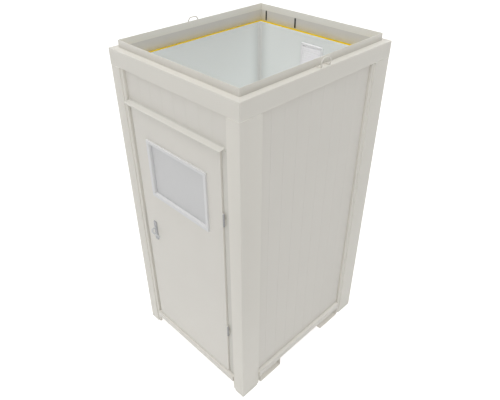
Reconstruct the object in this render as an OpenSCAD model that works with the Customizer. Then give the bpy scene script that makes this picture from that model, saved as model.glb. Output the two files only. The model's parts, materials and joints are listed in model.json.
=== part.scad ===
// Small steel-framed sanitary cabin of sandwich panels, with one door and an open roof frame.
// The origin is on the ground at the middle of the footprint. The door is on the -Y side.

/* [Cabin] */
// Width over the corner posts, from side to side
cabin_w = 1200; // [1100:10:1600]
// Depth over the corner posts, from the door side to the back
cabin_d = 1400; // [1300:10:2000]
// Height of the roof rails' rim above the ground
cabin_h = 2540; // [2300:10:2800]

/* [Folded steel] */
// Thickness of the sheet that posts and rails are folded from
sheet = 3; // [2:0.5:3.5]
// Inside radius of every fold
fold_r = 2; // [1:0.5:2]

/* [Corner posts] */
// Width of a post's flush leg on the door and back sides
leg_end = 92; // [60:2:110]
// Width of a post's flush leg on the long sides
leg_side = 160; // [80:5:200]
// Width of the stepped-back strip along each leg
strip_w = 24; // [15:1:40]
// How far the strip is stepped back
strip_step = 8; // [8:1:12]
// Thickness of the plates at a post's foot and head
post_plate_t = 8; // [6:1:12]
// Open seam between the post and the roof rail
seam = 3; // [2:1:6]

/* [Roof rails] */
// Height of a roof rail's outer face
roof_rail_h = 112; // [90:2:140]
// Width of the roof rail's top flange
roof_flange_w = 47.5; // [36:0.5:60]
// Height of the rim that stands above the flange
rim_h = 48; // [30:1:70]
// Thickness of the rim
rim_t = 3.5; // [3:0.5:6]
// How far the wall panels reach up behind the roof rail
panel_tuck = 32; // [15:1:50]

/* [Floor frame] */
// Height of the floor rails' top above the ground
sill_z = 136; // [130:1:180]
// Height of a floor rail
floor_rail_h = 52; // [50:1:60]
// Depth of a floor rail's bottom flange
rail_foot = 60; // [40:1:90]
// Number of cross-members under the floor
cross_count = 4; // [2:1:6]
// Width of a cross-member
cross_w = 60; // [40:5:80]
// Thickness of the floor board
board_t = 18; // [12:1:21]

/* [Fork pockets] */
// Distance from the middle of the cabin to a pocket's near side
pocket_near = 267; // [150:1:280]
// Outer width of a pocket
pocket_w = 236; // [160:2:240]
// Wall of a pocket
pocket_wall = 4; // [3:0.5:6]

/* [Wall panels] */
// Distance from the frame's outer faces to the panels' outer faces
wall_inset = 28; // [26:1:40]
// Thickness of the side panels
side_panel_t = 48; // [40:1:80]
// Thickness of the door-side and back panels
end_panel_t = 60; // [56:1:80]
// Thickness of a panel's steel skins
skin_t = 1.5; // [0.8:0.1:2]
// Distance between the ribs of the outer skins
rib_pitch = 116; // [60:1:200]
// Width of a rib at its foot
rib_w = 8; // [4:1:16]
// Height of a rib
rib_h = 1.2; // [0.6:0.1:2]
// Shift of the ribs along the long sides
side_rib_shift = 40; // [-60:1:60]
// Leg of the angle trim in the room's corners
trim_leg = 25; // [15:1:40]
// Thickness of the angle trim
trim_t = 1.5; // [1:0.5:3]

/* [Door] */
// Distance from the lock-side post to the leaf
lock_side = 29; // [27:1:60]
// Distance from the hinge-side post to the leaf
hinge_side = 64; // [60:1:100]
// Height of the wall panel over the door
over_door = 247; // [150:1:400]
// Thickness of the door leaf
leaf_t = 40; // [35:1:42]
// Depth of the leaf's face behind the frame's outer face
leaf_inset = 16; // [14:1:20]
// Gap between the leaf and its frame
leaf_gap = 5; // [5:1:8]
// Width of the stops behind the leaf's edge
stop_w = 20; // [15:1:30]
// Thickness of the door frame's folded sheet
frame_t = 2; // [1.5:0.5:3]
// Height of the steel head over the leaf
head_h = 19; // [15:1:40]

/* [Hinges] */
// Distance from the leaf's bottom edge to the middle of the lower hinge
hinge_low = 491; // [150:1:700]
// Distance from the leaf's top edge to the middle of the upper hinge
hinge_high = 483; // [150:1:700]
// Length of a hinge, both halves together
hinge_len = 100; // [80:2:140]
// Radius of the hinge barrel
barrel_r = 7; // [6:0.5:10]
// Radius of the hinge pin
pin_r = 4; // [3:0.5:5]
// Radial running clearance of pins and spindles
run_gap = 0.05; // [0.02:0.01:0.1]
// Distance from the leaf's edge to the hinge axis
hinge_reach = 16; // [16:1:20]
// Distance from the leaf's face out to the hinge axis
hinge_proud = 2; // [0:0.5:4]

/* [Window] */
// Outer width of the window frame
window_w = 605; // [300:1:700]
// Outer height of the window frame
window_h = 449; // [200:1:700]
// Distance from the leaf's top edge to the window's middle
window_drop = 428; // [260:1:600]
// Shift of the window from the middle of the leaf
window_shift = 6.5; // [-20:0.5:20]
// Width of the frame that shows round the pane
window_border = 26; // [22:1:45]
// How far the frame laps over the leaf
window_lap = 15; // [10:1:20]
// How far the frame stands out from the leaf
window_proud = 14; // [5:0.5:18]
// Distance of the pane behind the leaf's outer face
pane_back = 10; // [3:0.5:16]
// Thickness of the pane
pane_t = 4; // [3:0.5:8]
// Depth of the pane's groove
pane_groove = 5; // [3:0.5:8]

/* [Handle] */
// Distance from the leaf's free edge to the lever's spindle
backset = 103; // [60:1:160]
// Height of the spindle above the sill
spindle_up = 1028; // [850:1:1100]
// Width of the handle's plates
plate_w = 35; // [28:1:45]
// Height of the handle's plates
plate_h = 175; // [140:1:260]
// Thickness of the handle's plates
plate_t = 7; // [4:0.5:12]
// Radius of the plates' corners
plate_r = 8; // [2:0.5:12]
// Drop of the plates' middle below the spindle
plate_drop = 27; // [0:1:40]
// Radius of the lever's neck at its plate
neck_r = 9; // [7:0.5:12]
// Radius of the lever's bent bar
grip_r = 6.5; // [5:0.5:9]
// Distance from the plate to the axis of the grip
grip_reach = 32.5; // [32:0.5:60]
// Length of the grip beyond its last bend
grip_len = 72; // [50:1:110]
// Radius of the bends in the bar's axis
bend_r = 12; // [10:0.5:16]
// Straight stretch between the neck's bend and the grip's
bend_gap = 2; // [1:0.5:20]
// Turn of the grip's tip back towards the door, in degrees
tip_turn = 30; // [0:5:60]

/* [Rain drip] */
// How far the drip stands out from the wall
drip_reach = 39; // [15:1:50]
// Clearance of the drip's lip above the leaf
drip_over = 6.5; // [6:0.5:8]
// Length that the drip stops short of the hinge-side post
drip_short = 32; // [0:1:80]
// Height of the leg that lies on the wall
drip_leg = 14; // [10:1:25]
// Height of the lip turned down at the drip's edge
drip_lip = 7.5; // [5:0.5:9]
// Thickness of the drip's sheet
drip_t = 1.5; // [1:0.5:2]

/* [Lifting eyes] */
// Radius of the eyes' round bar
eye_r = 4; // [4:0.5:8]
// How much the bar swells where it is bent
bend_swell = 0.15; // [0.1:0.05:0.25]
// Width of an eye at its foot
eye_foot_w = 79; // [60:1:140]
// Width of an eye at its shoulders
eye_shoulder_w = 88; // [60:1:140]
// Height of the shoulders above the flange
eye_shoulder_h = 38; // [20:1:60]
// Width of an eye at its top
eye_top_w = 50; // [30:1:70]
// Height of an eye above the flange
eye_h = 62; // [40:1:90]
// Distance of the eyes from the frame's outer face
eye_inset = 6; // [5:0.5:20]
// Place of the left eye along the side
left_eye_y = -3; // [-200:1:200]
// Place of the right eye along the side
right_eye_y = 4; // [-200:1:200]

/* [Vent] */
// Width of the vent grilles
vent_w = 195; // [150:5:250]
// Height of the vent grilles
vent_h = 200; // [150:5:250]
// Depth of a grille in front of its wall
vent_t = 12; // [8:1:20]
// Width of a grille's border
vent_border = 15; // [10:1:25]
// Distance between the slats
slat_pitch = 17; // [12:1:30]
// Place of the vent's middle across the cabin
vent_x = 12.5; // [-200:0.5:200]
// Distance of the vent's top below the panels' top
vent_drop = 65; // [40:1:400]

/* [Roof seals] */
// Width of a black seal strip on the back rail
seal_w = 12.5; // [8:0.5:20]
// Thickness of the seal strips
seal_t = 3; // [2:0.5:6]
// Distance of each seal strip's middle from the room's left wall
seal_places = [32.5, 330];

/* [Hidden] */
$fn = 48;
fold_steps = 3;
// Clearance of pieces that only lie against each other
seat_gap = 0.3;

flange_z = cabin_h - rim_h;
roof_rail_z = flange_z - roof_rail_h;
post_h = roof_rail_z - seam;
panel_top = roof_rail_z + panel_tuck;
floor_rail_z = sill_z - floor_rail_h;
rim_in = roof_flange_w + rim_t;
rib_room = rib_h + seat_gap;

side_span = cabin_d - 2 * (leg_side + strip_w);
end_span = cabin_w - 2 * (leg_end + strip_w);
side_wall_l = cabin_d - 2 * wall_inset;
side_in = wall_inset + side_panel_t;
end_in = wall_inset + end_panel_t;
room_w = cabin_w - 2 * side_in;
room_d = cabin_d - 2 * end_in;

leaf_left = lock_side - end_span / 2;
leaf_right = end_span / 2 - hinge_side;
leaf_w = leaf_right - leaf_left;
leaf_z = sill_z + leaf_gap;
head_top = panel_top - over_door;
rebate_top = head_top - head_h;
leaf_top = rebate_top - leaf_gap;
leaf_front = leaf_inset - cabin_d / 2;
leaf_back = leaf_front + leaf_t;
rebate_left = leaf_left - leaf_gap;
rebate_right = leaf_right + leaf_gap;
stop_y = leaf_inset + leaf_t + leaf_gap;

hinge_x = leaf_right + hinge_reach;
hinge_y = leaf_front - hinge_proud;
hinge_half = hinge_len / 2;
barrel_gap = 0.3;

window_x = (leaf_left + leaf_right) / 2 + window_shift;
window_z = leaf_top - window_drop;
handle_x = leaf_left + backset;
handle_z = sill_z + spindle_up;

vent_z = panel_top - vent_drop - vent_h / 2;
vent_duct_w = vent_w - 2 * vent_border - 5;
vent_duct_h = vent_h - 2 * vent_border - 5;

// ---- Folded sheet ----

function turned(v, angle) = [
    v[0] * cos(angle) - v[1] * sin(angle),
    v[0] * sin(angle) + v[1] * cos(angle)
];
function left_of(a, b) = turned((b - a) / norm(b - a), 90);

// One fold at b, seen on the face that lies s to the left of the path
function fold(a, b, c, s, t) =
    let (
        n = left_of(a, b),
        m = left_of(b, c),
        turn = atan2(n[0] * m[1] - n[1] * m[0], n * m),
        k = turn > 0 ? fold_r + t : -fold_r,
        centre = b + k * (n + m) / (1 + n * m)
    )
    [for (i = [0:fold_steps]) centre + (s - k) * turned(n, turn * i / fold_steps)];

function sheet_face(path, s, t) =
    let (last = len(path) - 1)
    [
        path[0] + s * left_of(path[0], path[1]),
        for (i = [1:last - 1]) each fold(path[i - 1], path[i], path[i + 1], s, t),
        path[last] + s * left_of(path[last - 1], path[last])
    ];

// Section of a sheet folded along a path, which is its right-hand face
module folded_sheet(path, t) {
    far_face = sheet_face(path, t, t);
    polygon(concat(sheet_face(path, 0, t), [for (i = [len(far_face) - 1:-1:0]) far_face[i]]));
}

// ---- Placing ----

// Stands a section up along X: its first axis goes along Y and its second along Z
module along_x(length) {
    rotate([90, 0, 90]) linear_extrude(length, center = true) children();
}

// The frame of one side: its outer face is the plane y = 0, and the room is towards +y
module at_front() {
    translate([0, -cabin_d / 2, 0]) children();
}
module at_back() {
    translate([0, cabin_d / 2, 0]) rotate(180) children();
}
module at_left() {
    translate([-cabin_w / 2, 0, 0]) rotate(-90) children();
}
module at_right() {
    translate([cabin_w / 2, 0, 0]) rotate(90) children();
}

// A flat slab of one side, from depth near to depth far
module slab(length, near, far, bottom, top) {
    translate([-length / 2, near, bottom]) cube([length, far - near, top - bottom]);
}

module rounded_plate(w, h, t, r) {
    rotate([90, 0, 0]) linear_extrude(t, center = true) {
        square([w - 2 * r, h], center = true);
        square([w, h - 2 * r], center = true);
        for (x = [-1, 1], y = [-1, 1]) translate([x * (w / 2 - r), y * (h / 2 - r)]) circle(r);
    }
}

// ---- Corner posts ----

post_path = [
    [wall_inset, leg_side + strip_w],
    [strip_step, leg_side + strip_w],
    [strip_step, leg_side],
    [0, leg_side],
    [0, 0],
    [leg_end, 0],
    [leg_end, strip_step],
    [leg_end + strip_w, strip_step],
    [leg_end + strip_w, wall_inset]
];

module post_plate() {
    linear_extrude(post_plate_t) polygon([
        [sheet, sheet],
        [leg_end - sheet, sheet],
        [leg_end - sheet, wall_inset],
        [wall_inset, wall_inset],
        [wall_inset, leg_side - sheet],
        [sheet, leg_side - sheet]
    ]);
}

// A post whose outer corner is at the origin
module post() {
    color("gainsboro") {
        linear_extrude(post_h) folded_sheet(post_path, sheet);
        post_plate();
        translate([0, 0, roof_rail_z - post_plate_t]) post_plate();
    }
}

module post_front_left() {
    translate([-cabin_w / 2, -cabin_d / 2, 0]) post();
}
module post_front_right() {
    mirror([1, 0, 0]) post_front_left();
}
module post_back_left() {
    mirror([0, 1, 0]) post_front_left();
}
module post_back_right() {
    mirror([0, 1, 0]) post_front_right();
}

// ---- Roof rails ----

module roof_section() {
    folded_sheet([
        [roof_flange_w, flange_z],
        [0, flange_z],
        [0, roof_rail_z],
        [wall_inset - rib_room, roof_rail_z]
    ], sheet);
    translate([roof_flange_w, panel_top]) square([rim_t, cabin_h - panel_top]);
}

// Mitred at both ends
module roof_rail(length) {
    color("gainsboro") intersection() {
        along_x(length) roof_section();
        linear_extrude(cabin_h) polygon([
            [-length / 2, 0],
            [length / 2, 0],
            [length / 2 - rim_in, rim_in],
            [rim_in - length / 2, rim_in]
        ]);
    }
}

module roof_rail_front() {
    at_front() roof_rail(cabin_w);
}
module roof_rail_back() {
    at_back() roof_rail(cabin_w);
}
module roof_rail_left() {
    at_left() roof_rail(cabin_d);
}
module roof_rail_right() {
    at_right() roof_rail(cabin_d);
}

// ---- Floor frame ----

module floor_rail(length, ledge) {
    color("silver") along_x(length) folded_sheet([
        [ledge, sill_z],
        [0, sill_z],
        [0, floor_rail_z],
        [rail_foot, floor_rail_z]
    ], sheet);
}

module floor_rail_front() {
    at_front() floor_rail(end_span, end_in);
}
module floor_rail_back() {
    at_back() floor_rail(end_span, end_in);
}
module floor_rail_left() {
    at_left() floor_rail(side_span, side_in);
}
module floor_rail_right() {
    at_right() floor_rail(side_span, side_in);
}

// A rectangular tube from side to side under the side rails
module fork_pocket() {
    color("silver") along_x(cabin_w) translate([pocket_near, 0]) difference() {
        square([pocket_w, floor_rail_z]);
        translate([pocket_wall, pocket_wall])
            square([pocket_w - 2 * pocket_wall, floor_rail_z - 2 * pocket_wall]);
    }
}

module fork_pocket_front() {
    mirror([0, 1, 0]) fork_pocket();
}
module fork_pocket_back() {
    fork_pocket();
}

// Channels open downwards, which lie on the side rails' bottom flanges
module floor_crossmembers() {
    low = floor_rail_z + sheet;
    high = sill_z - sheet - board_t;
    step = (side_span - cross_w) / cross_count;
    color("silver") for (i = [0:cross_count - 1])
        translate([0, (i - (cross_count - 1) / 2) * step, 0])
            along_x(cabin_w - 2 * sheet)
                folded_sheet([
                    [cross_w / 2, low],
                    [cross_w / 2, high],
                    [-cross_w / 2, high],
                    [-cross_w / 2, low]
                ], sheet);
}

module floor_board() {
    margin = wall_inset + sheet + 9;
    color("burlywood") translate([0, 0, sill_z - sheet - board_t / 2])
        cube([cabin_w - 2 * margin, cabin_d - 2 * margin, board_t], center = true);
}

module floor_covering() {
    color("slategray") translate([0, 0, sill_z - sheet / 2])
        cube([room_w, room_d, sheet], center = true);
}

// ---- Wall panels ----

// Places of the ribs that fit within half a length of the middle
function rib_places(half, shift) = [
    for (k = [ceil((-half - shift) / rib_pitch):floor((half - shift) / rib_pitch)])
        shift + k * rib_pitch
];

// Outer skin of one side with its row of ribs
module ribbed_skin(length, ribbed_length, shift, bottom, top) {
    edge = [for (x = rib_places(ribbed_length / 2 - rib_w, shift))
        each [[x - rib_w / 2, 0], [x - rib_w / 4, -rib_h], [x + rib_w / 4, -rib_h], [x + rib_w / 2, 0]]];
    translate([0, wall_inset, bottom]) linear_extrude(top - bottom)
        polygon(concat([[-length / 2, 0]], edge,
            [[length / 2, 0], [length / 2, skin_t], [-length / 2, skin_t]]));
}

module insulation(length, thickness, bottom, top) {
    color("gold")
        slab(length, wall_inset + skin_t, wall_inset + thickness - skin_t, bottom, top);
}

module inner_skin(length, thickness, bottom, top) {
    color("honeydew")
        slab(length, wall_inset + thickness - skin_t, wall_inset + thickness, bottom, top);
}

module side_outer_skin(shift) {
    color("gainsboro") ribbed_skin(side_wall_l, side_span, shift, sill_z, panel_top);
}

module outer_skin_left() {
    at_left() side_outer_skin(-side_rib_shift);
}
module outer_skin_right() {
    at_right() side_outer_skin(side_rib_shift);
}
module insulation_left() {
    at_left() insulation(side_wall_l, side_panel_t, sill_z, panel_top);
}
module insulation_right() {
    at_right() insulation(side_wall_l, side_panel_t, sill_z, panel_top);
}
module inner_skin_left() {
    at_left() inner_skin(side_wall_l, side_panel_t, sill_z, panel_top);
}
module inner_skin_right() {
    at_right() inner_skin(side_wall_l, side_panel_t, sill_z, panel_top);
}

// The square duct through the back wall
module vent_duct() {
    translate([vent_x - vent_duct_w / 2, cabin_d / 2 - end_in - 1, vent_z - vent_duct_h / 2])
        cube([vent_duct_w, end_panel_t + rib_h + 2, vent_duct_h]);
}

module outer_skin_back() {
    color("gainsboro") difference() {
        at_back() ribbed_skin(room_w, end_span, 0, sill_z, panel_top);
        vent_duct();
    }
}
module insulation_back() {
    color("gold") difference() {
        at_back() insulation(room_w, end_panel_t, sill_z, panel_top);
        vent_duct();
    }
}
module inner_skin_back() {
    color("honeydew") difference() {
        at_back() inner_skin(room_w, end_panel_t, sill_z, panel_top);
        vent_duct();
    }
}

module outer_skin_front() {
    color("gainsboro") at_front() ribbed_skin(room_w, end_span, 0, head_top, panel_top);
}
module insulation_front() {
    at_front() insulation(room_w, end_panel_t, head_top, panel_top);
}
module inner_skin_front() {
    at_front() inner_skin(room_w, end_panel_t, head_top, panel_top);
}

module corner_trims() {
    color("white") translate([0, 0, sill_z]) linear_extrude(panel_top - sill_z)
        for (x = [-1, 1], y = [-1, 1]) scale([x, y]) translate([-room_w / 2, -room_d / 2]) {
            square([trim_leg, trim_t]);
            square([trim_t, trim_leg]);
        }
}

// ---- Door frame ----

// Section of a jamb from the side panel at `outer` to the rebate, in plan
module jamb_section(outer, rebate, inward) {
    folded_sheet([
        [outer, wall_inset],
        [rebate, wall_inset],
        [rebate, stop_y],
        [rebate + inward * stop_w, stop_y],
        [rebate + inward * stop_w, end_in],
        [outer, end_in]
    ], frame_t);
}

module door_jamb_left() {
    color("lightgray") at_front() translate([0, 0, sill_z]) linear_extrude(rebate_top - sill_z)
        jamb_section(-room_w / 2, rebate_left, 1);
}
module door_jamb_right() {
    color("lightgray") at_front() translate([0, 0, sill_z]) linear_extrude(rebate_top - sill_z)
        mirror([1, 0]) jamb_section(-room_w / 2, -rebate_right, 1);
}

// The head lies across the jambs, and its stop hangs between theirs
module door_head() {
    stop_left = rebate_left + stop_w;
    stop_right = rebate_right - stop_w;
    color("lightgray") at_front() difference() {
        along_x(room_w) folded_sheet([
            [wall_inset, head_top],
            [wall_inset, rebate_top],
            [stop_y, rebate_top],
            [stop_y, rebate_top - stop_w],
            [end_in, rebate_top - stop_w],
            [end_in, head_top]
        ], frame_t);
        for (x = [-room_w, stop_right])
            translate([x, 0, 0]) cube([x < 0 ? room_w + stop_left : room_w, cabin_d, rebate_top]);
    }
}

// A folded sheet fixed to the head, which sheds rain over the leaf's top edge
module rain_drip() {
    left = -end_span / 2;
    right = end_span / 2 - drip_short;
    wall = wall_inset - rib_room;
    lip_z = leaf_top + drip_over;
    color("lightgray") at_front() translate([(left + right) / 2, 0, 0])
        along_x(right - left) folded_sheet([
            [wall - drip_reach, lip_z],
            [wall - drip_reach, lip_z + drip_lip],
            [wall, head_top],
            [wall, head_top + drip_leg]
        ], drip_t);
}

// ---- Hinges ----

module at_hinges() {
    for (z = [leaf_z + hinge_low, leaf_top - hinge_high]) translate([hinge_x, hinge_y, z]) children();
}

// Lower half: barrel and pin, with a neck to the jamb's face
module hinge_frame_halves() {
    jamb_depth = wall_inset - cabin_d / 2 - hinge_y;
    color("darkgray") at_hinges() {
        translate([0, 0, -hinge_half]) cylinder(hinge_half - barrel_gap, barrel_r, barrel_r);
        translate([0, 0, -hinge_half]) cylinder(hinge_len - 4, pin_r, pin_r);
        translate([-barrel_r * 0.6, 0, -hinge_half])
            cube([barrel_r * 1.2, jamb_depth, hinge_half - barrel_gap]);
    }
}

// Upper half: barrel that turns on the pin, with a strap to the leaf's edge
module hinge_door_halves() {
    color("darkgray") at_hinges() difference() {
        union() {
            cylinder(hinge_half, barrel_r, barrel_r);
            translate([-hinge_reach, hinge_proud, 0])
                cube([hinge_reach, barrel_r * 0.6, hinge_half]);
        }
        translate([0, 0, -1]) cylinder(hinge_half - 4 + 1 + barrel_gap, pin_r + run_gap, pin_r + run_gap);
    }
}

// ---- Door leaf ----

// A square hole or frame part of the leaf, from depth near to depth far behind its face
module window_block(w, h, near, far) {
    translate([window_x - w / 2, leaf_front + near, window_z - h / 2]) cube([w, far - near, h]);
}

module door_leaf() {
    hole_w = window_w - 2 * window_lap;
    hole_h = window_h - 2 * window_lap;
    color("gainsboro") difference() {
        translate([leaf_left, leaf_front, leaf_z]) cube([leaf_w, leaf_t, leaf_top - leaf_z]);
        window_block(hole_w, hole_h, -1, leaf_t + 1);
        translate([handle_x, leaf_front - 1, handle_z]) rotate([-90, 0, 0])
            cylinder(leaf_t + 2, neck_r + 5, neck_r + 5);
    }
}

module window_frame() {
    body_w = window_w - 2 * window_lap - 2 * seat_gap;
    body_h = window_h - 2 * window_lap - 2 * seat_gap;
    clear_w = window_w - 2 * window_border;
    clear_h = window_h - 2 * window_border;
    groove = 2 * pane_groove;
    color("lightsteelblue") difference() {
        union() {
            window_block(window_w, window_h, -window_proud, 0);
            window_block(body_w, body_h, -window_proud, leaf_t);
            window_block(window_w, window_h, leaf_t, leaf_t + 3);
        }
        window_block(clear_w, clear_h, -window_proud - 1, leaf_t + 4);
        window_block(clear_w + groove, clear_h + groove, pane_back, pane_back + pane_t);
    }
}

module window_pane() {
    w = window_w - 2 * window_border + 2 * pane_groove - 2 * seat_gap;
    h = window_h - 2 * window_border + 2 * pane_groove - 2 * seat_gap;
    color("gray") window_block(w, h, pane_back, pane_back + pane_t);
}

// ---- Handle ----

module handle_plate() {
    plate_z = -plate_drop;
    difference() {
        union() {
            translate([0, 0, plate_z]) rounded_plate(plate_w, plate_h, plate_t, plate_r);
            translate([0, 0, -plate_h / 3 - plate_drop]) rotate([90, 0, 0])
                cylinder(plate_t / 2 + 3, neck_r, neck_r);
        }
        rotate([90, 0, 0]) cylinder(plate_t + 2, neck_r + run_gap, neck_r + run_gap, center = true);
    }
}

module handle_plates() {
    color("darkgray") {
        translate([handle_x, leaf_front - plate_t / 2, handle_z]) handle_plate();
        translate([handle_x, leaf_back + plate_t / 2, handle_z]) mirror([0, 1, 0]) handle_plate();
    }
}

// Bar along +X, with what follows at its end
module straight_bar(length) {
    rotate([0, 90, 0]) cylinder(length, grip_r, grip_r);
    translate([length, 0, 0]) children();
}

// Bar that starts along +X and turns towards +Y, with what follows at its end
module bent_bar(angle) {
    translate([0, bend_r, 0]) rotate(-90) rotate_extrude(angle = angle) translate([bend_r, 0]) circle(grip_r);
    translate([bend_r * sin(angle), bend_r * (1 - cos(angle)), 0]) rotate(angle) children();
}

// Neck and bar of one side, with the neck's foot on the leaf's face
module lever_side() {
    collar = plate_t + 8;
    rotate([90, 0, 0]) cylinder(collar, neck_r, neck_r);
    translate([0, -collar, 0]) rotate(-90) straight_bar(plate_t + grip_reach - bend_r - collar)
        rotate([-90, 0, 0]) bent_bar(90) straight_bar(bend_gap)
            rotate([90, 0, 0]) bent_bar(90) straight_bar(grip_len)
                rotate([-90, 0, 0]) bent_bar(tip_turn)
                    translate([-1, 0, 0]) rotate([0, 90, 0]) cylinder(3, grip_r - 0.5, grip_r - 2);
}

module door_lever() {
    color("darkgray") translate([handle_x, leaf_front, handle_z]) {
        lever_side();
        translate([0, -plate_t, 0]) rotate([-90, 0, 0])
            cylinder(leaf_t + 2 * plate_t, neck_r / 2, neck_r / 2);
        translate([0, leaf_t, 0]) mirror([0, 1, 0]) lever_side();
    }
}

// ---- Lifting eyes ----

module bar(a, b) {
    run = b - a;
    translate(a) rotate([0, acos(run[2] / norm(run)), atan2(run[1], run[0])])
        cylinder(norm(run), eye_r, eye_r);
}

// A bar bent into a loop across the flange, with both feet turned in to the rim
module lifting_eye() {
    foot = flange_z + eye_r + seat_gap;
    shoulder = flange_z + eye_shoulder_h;
    top = flange_z + eye_h - eye_r;
    points = [
        [-eye_foot_w / 2, roof_flange_w, foot],
        [-eye_foot_w / 2, eye_inset, foot],
        [-eye_shoulder_w / 2, eye_inset, shoulder],
        [-eye_top_w / 2, eye_inset, top],
        [eye_top_w / 2, eye_inset, top],
        [eye_shoulder_w / 2, eye_inset, shoulder],
        [eye_foot_w / 2, eye_inset, foot],
        [eye_foot_w / 2, roof_flange_w, foot]
    ];
    for (i = [0:6]) bar(points[i], points[i + 1]);
    for (i = [1:6]) translate(points[i]) sphere(eye_r + bend_swell);
}

module lifting_eyes() {
    color("silver") {
        at_left() translate([-left_eye_y, 0, 0]) lifting_eye();
        at_right() translate([right_eye_y, 0, 0]) lifting_eye();
    }
}

// ---- Vent ----

// A slatted grille that stands vent_t proud of the plane y = 0, towards -y
module vent_grille() {
    clear_w = vent_w - 2 * vent_border;
    clear_h = vent_h - 2 * vent_border;
    rows = floor(clear_h / slat_pitch);
    color("whitesmoke") translate([vent_x, 0, vent_z]) {
        difference() {
            translate([-vent_w / 2, -vent_t, -vent_h / 2]) cube([vent_w, vent_t, vent_h]);
            translate([-clear_w / 2, -vent_t - 1, -clear_h / 2]) cube([clear_w, vent_t + 2, clear_h]);
        }
        for (i = [0:rows - 1]) translate([0, -vent_t / 2, (i + 0.5 - rows / 2) * slat_pitch])
            rotate([-45, 0, 0]) cube([clear_w + 2, 1.5, vent_t * 1.2], center = true);
    }
}

module vent_grille_inside() {
    translate([0, room_d / 2, 0]) vent_grille();
}
module vent_grille_outside() {
    translate([0, cabin_d / 2 - wall_inset + rib_room, 0]) mirror([0, 1, 0]) vent_grille();
}

// ---- Roof seals ----

// Short upright strips of black rubber on the inner face of the back rail
module roof_seals() {
    color("dimgray") for (x = seal_places)
        translate([x - (room_w + seal_w) / 2, cabin_d / 2 - rim_in - seal_t, panel_top + 8])
            cube([seal_w, seal_t, flange_z - panel_top - 8]);
}

post_front_left();
post_front_right();
post_back_left();
post_back_right();
roof_rail_front();
roof_rail_back();
roof_rail_left();
roof_rail_right();
floor_rail_front();
floor_rail_back();
floor_rail_left();
floor_rail_right();
fork_pocket_front();
fork_pocket_back();
floor_crossmembers();
floor_board();
floor_covering();
outer_skin_left();
outer_skin_right();
outer_skin_back();
outer_skin_front();
insulation_left();
insulation_right();
insulation_back();
insulation_front();
inner_skin_left();
inner_skin_right();
inner_skin_back();
inner_skin_front();
door_jamb_left();
door_jamb_right();
door_head();
rain_drip();
vent_grille_inside();
vent_grille_outside();
lifting_eyes();
corner_trims();
roof_seals();
hinge_frame_halves();
hinge_door_halves();
door_leaf();
window_frame();
window_pane();
handle_plates();
door_lever();
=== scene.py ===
"""Looks of a small sanitary cabin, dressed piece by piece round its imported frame. Lengths are in metres."""
import json
import math

import bmesh
import bpy
from mathutils import Matrix, Vector


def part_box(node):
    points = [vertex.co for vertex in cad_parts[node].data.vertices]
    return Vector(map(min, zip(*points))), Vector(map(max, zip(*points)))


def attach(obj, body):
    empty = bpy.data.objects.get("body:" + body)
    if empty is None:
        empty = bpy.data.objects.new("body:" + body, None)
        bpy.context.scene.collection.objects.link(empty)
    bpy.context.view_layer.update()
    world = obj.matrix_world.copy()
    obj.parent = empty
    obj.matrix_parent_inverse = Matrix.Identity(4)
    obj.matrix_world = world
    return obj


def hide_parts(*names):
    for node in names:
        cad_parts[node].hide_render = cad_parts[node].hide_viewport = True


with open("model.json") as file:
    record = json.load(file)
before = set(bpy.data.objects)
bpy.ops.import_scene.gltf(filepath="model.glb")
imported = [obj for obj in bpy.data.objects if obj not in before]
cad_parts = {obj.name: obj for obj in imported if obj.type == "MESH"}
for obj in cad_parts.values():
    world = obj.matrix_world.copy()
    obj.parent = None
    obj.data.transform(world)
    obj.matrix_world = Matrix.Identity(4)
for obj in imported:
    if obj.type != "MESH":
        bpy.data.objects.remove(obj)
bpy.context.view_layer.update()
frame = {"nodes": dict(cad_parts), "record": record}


# ---- Studio ----
# A camera that looks down on the hinge-side corner of the cabin, wide soft lamps under an even sky,
# and a pale floor that shows white to the camera but keeps the cabin's shadow.

def colour(*levels):
    """Screen levels from 0 to 255 as the linear colour that Blender's sockets take."""
    linear = [v / 255 / 12.92 if v < 10.4 else ((v / 255 + 0.055) / 1.055) ** 2.4 for v in levels]
    return (*linear, 1.0)


def shader_nodes(owner):
    """Empties the node tree of a material or world, and returns it."""
    owner.use_nodes = True
    owner.node_tree.nodes.clear()
    return owner.node_tree


def node(tree, kind, **wanted):
    """A new node. A small letter starts the name of a setting and a capital that of an input, where _ is
    a blank. An input takes a value or another node's output."""
    made = tree.nodes.new(kind)
    for label, value in wanted.items():
        if label[0].islower():
            setattr(made, label, value)
        elif isinstance(value, bpy.types.NodeSocket):
            tree.links.new(value, made.inputs[label.replace("_", " ").strip()])
        else:
            made.inputs[label.replace("_", " ").strip()].default_value = value
    return made


def seen_directly(tree):
    """1 for rays from the camera or off gloss and glass, and 0 for rays that carry light."""
    path = node(tree, "ShaderNodeLightPath")
    total = path.outputs["Is Camera Ray"]
    for kind in ("Is Glossy Ray", "Is Transmission Ray"):
        either = node(tree, "ShaderNodeMath", operation="MAXIMUM")
        tree.links.new(total, either.inputs[0])
        tree.links.new(path.outputs[kind], either.inputs[1])
        total = either.outputs[0]
    return total


def show(obj):
    bpy.context.scene.collection.objects.link(obj)
    return obj


camera = show(bpy.data.objects.new("camera", bpy.data.cameras.new("camera")))
camera.data.lens = 35.555
camera.data.sensor_width = 36
towards_camera = Vector((1, -1, 1)).normalized()
aim, distance = Vector((-0.006, -0.018, 1.258)), 3.904
camera.location = aim + distance * towards_camera
camera.rotation_euler = towards_camera.to_track_quat("Z", "Y").to_euler()
bpy.context.scene.camera = camera

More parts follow.
